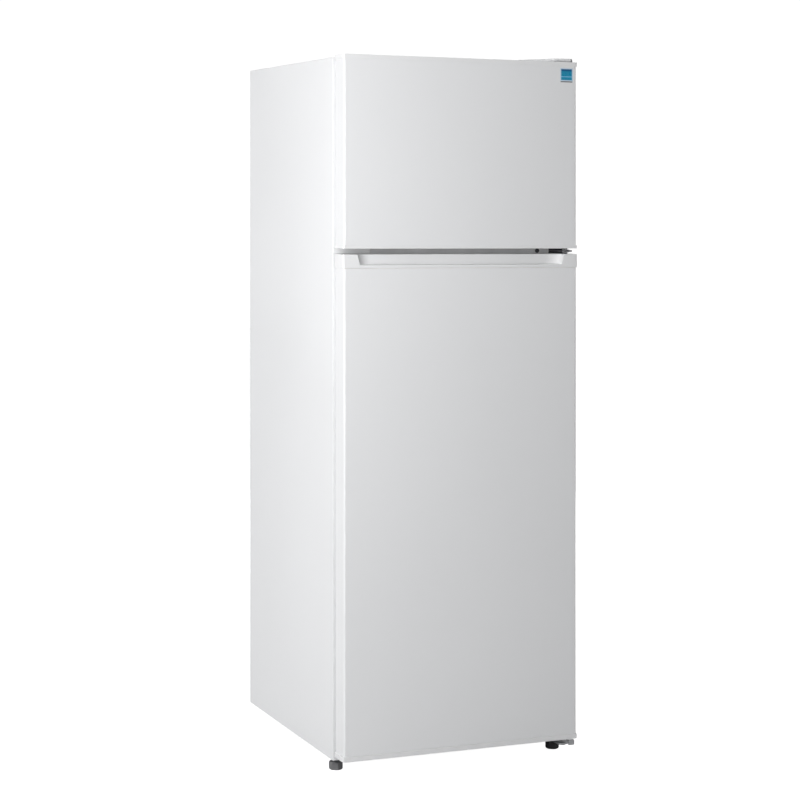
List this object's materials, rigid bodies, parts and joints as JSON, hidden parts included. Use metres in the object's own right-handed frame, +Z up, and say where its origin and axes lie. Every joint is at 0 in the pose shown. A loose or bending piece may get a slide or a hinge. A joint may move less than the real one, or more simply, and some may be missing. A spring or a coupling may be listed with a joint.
{
  "type": "top freezer refrigerator",
  "caption": "Free-standing top freezer refrigerator: two right-hinged doors, recessed grip, shelves, crisper, door bins, levelling feet and rear rollers.",
  "frame": {"origin": "on the floor, under the middle of the whole refrigerator's box", "axes": "+X towards the hinge side, -Y out of the doors, +Z up"},
  "size_m": [0.546, 0.596, 1.515],
  "materials": {
    "painted_white": "satin white baked enamel",
    "zinc_steel": "dull zinc plated sheet",
    "bracket_steel": "dark grey powder coat",
    "foam": "rigid polyurethane foam",
    "white_plastic": "satin white moulding",
    "liner_plastic": "gloss vacuum-formed sheet",
    "grey_plastic": "grey moulding",
    "dark_plastic": "dark grey moulding",
    "gasket_vinyl": "soft white vinyl",
    "black_rubber": "matt black rubber",
    "clear_plastic": "clear polystyrene",
    "shelf_glass": "toughened glass",
    "black_enamel": "gloss black enamel",
    "copper": "drawn copper tube",
    "aluminium_sheet": "rolled aluminium",
    "blue_film": "blue film sticker"
  },
  "bodies": {
    "cabinet": {"side_panel_left": "painted_white", "side_panel_right": "painted_white", "top_cover": "painted_white", "back_panel": "zinc_steel", "machine_step_panel": "zinc_steel", "base_panel": "zinc_steel", "compressor_rail": "zinc_steel", "roller_axles": "zinc_steel", "fridge_liner": "liner_plastic", "freezer_liner": "liner_plastic", "crossrail": "grey_plastic", "crossrail_plug_cover": "white_plastic", "cabinet_insulation": "foam", "top_hinge_bracket": "zinc_steel", "middle_hinge_bracket": "bracket_steel", "bottom_hinge_bracket": "zinc_steel", "bottom_hinge_boss": "black_enamel", "top_hinge_cover": "white_plastic", "hinge_screws": "zinc_steel", "hinge_washers": "white_plastic", "fridge_shelves": "shelf_glass", "freezer_shelf": "clear_plastic", "crisper_cover": "shelf_glass", "control_box": "white_plastic", "lamp_lens": "clear_plastic", "door_switch_body": "white_plastic", "evaporator_plate": "aluminium_sheet", "compressor": "black_enamel", "compressor_grommets": "black_rubber", "terminal_cover": "dark_plastic", "drip_tray": "dark_plastic", "filter_drier": "copper", "cord_gland": "dark_plastic", "refrigerant_tubes": "copper", "condenser_loop": "copper", "foot_nuts": "zinc_steel"},
    "fridge_door": {"fridge_door_handle_cap": "white_plastic", "fridge_door_bottom_cap": "white_plastic", "fridge_door_skin": "painted_white", "fridge_door_insulation": "foam", "fridge_door_liner": "liner_plastic", "fridge_door_gasket": "gasket_vinyl", "fridge_door_bin_lower": "clear_plastic", "fridge_door_bin_middle": "clear_plastic", "fridge_door_bin_upper": "clear_plastic"},
    "freezer_door": {"freezer_door_top_cap": "white_plastic", "freezer_door_bottom_cap": "white_plastic", "freezer_door_skin": "painted_white", "freezer_door_insulation": "foam", "freezer_door_liner": "liner_plastic", "freezer_door_gasket": "gasket_vinyl", "freezer_door_bin_lower": "clear_plastic", "freezer_door_sticker": "blue_film"},
    "crisper": {"crisper_drawer": "clear_plastic"},
    "dial": {"thermostat_dial": "white_plastic"},
    "door_switch": {"door_switch_plunger": "white_plastic"},
    "foot_left": {"levelling_foot_left": "dark_plastic"},
    "foot_right": {"levelling_foot_right": "dark_plastic"},
    "roller_left": {"rear_roller_left": "dark_plastic"},
    "roller_right": {"rear_roller_right": "dark_plastic"}
  },
  "joints": [
    {"name": "fridge_door_hinge", "type": "hinge", "parent": "cabinet", "child": "fridge_door", "pos_m": [0.259, -0.27, 0.56], "axis": [0, 0, 1], "range_deg": [0, 120]},
    {"name": "freezer_door_hinge", "type": "hinge", "parent": "cabinet", "child": "freezer_door", "pos_m": [0.259, -0.27, 1.3], "axis": [0, 0, 1], "range_deg": [0, 120]},
    {"name": "crisper_slide", "type": "slide", "parent": "cabinet", "child": "crisper", "axis": [0, -1, 0], "range_m": [0, 0.078]},
    {"name": "thermostat_turn", "type": "hinge", "parent": "cabinet", "child": "dial", "pos_m": [0.06, -0.065, 1.0398], "axis": [0, -1, 0], "range_deg": [0, 270]},
    {"name": "door_switch_travel", "type": "slide", "parent": "cabinet", "child": "door_switch", "axis": [0, -1, 0], "range_m": [0, 0.0055]},
    {"name": "foot_left_turn", "type": "hinge", "parent": "cabinet", "child": "foot_left", "pos_m": [-0.2525, -0.203, 0], "axis": [0, 0, 1], "continuous": true},
    {"name": "foot_right_turn", "type": "hinge", "parent": "cabinet", "child": "foot_right", "pos_m": [0.2525, -0.218, 0], "axis": [0, 0, 1], "continuous": true},
    {"name": "roller_left_spin", "type": "hinge", "parent": "cabinet", "child": "roller_left", "pos_m": [-0.214, 0.245, 0.019], "axis": [1, 0, 0], "continuous": true},
    {"name": "roller_right_spin", "type": "hinge", "parent": "cabinet", "child": "roller_right", "pos_m": [0.214, 0.245, 0.019], "axis": [1, 0, 0], "continuous": true}
  ],
  "couplings": [
    {"joint": "door_switch_travel", "follows": "fridge_door_hinge", "m_per_rad": 0.0023873}
  ]
}
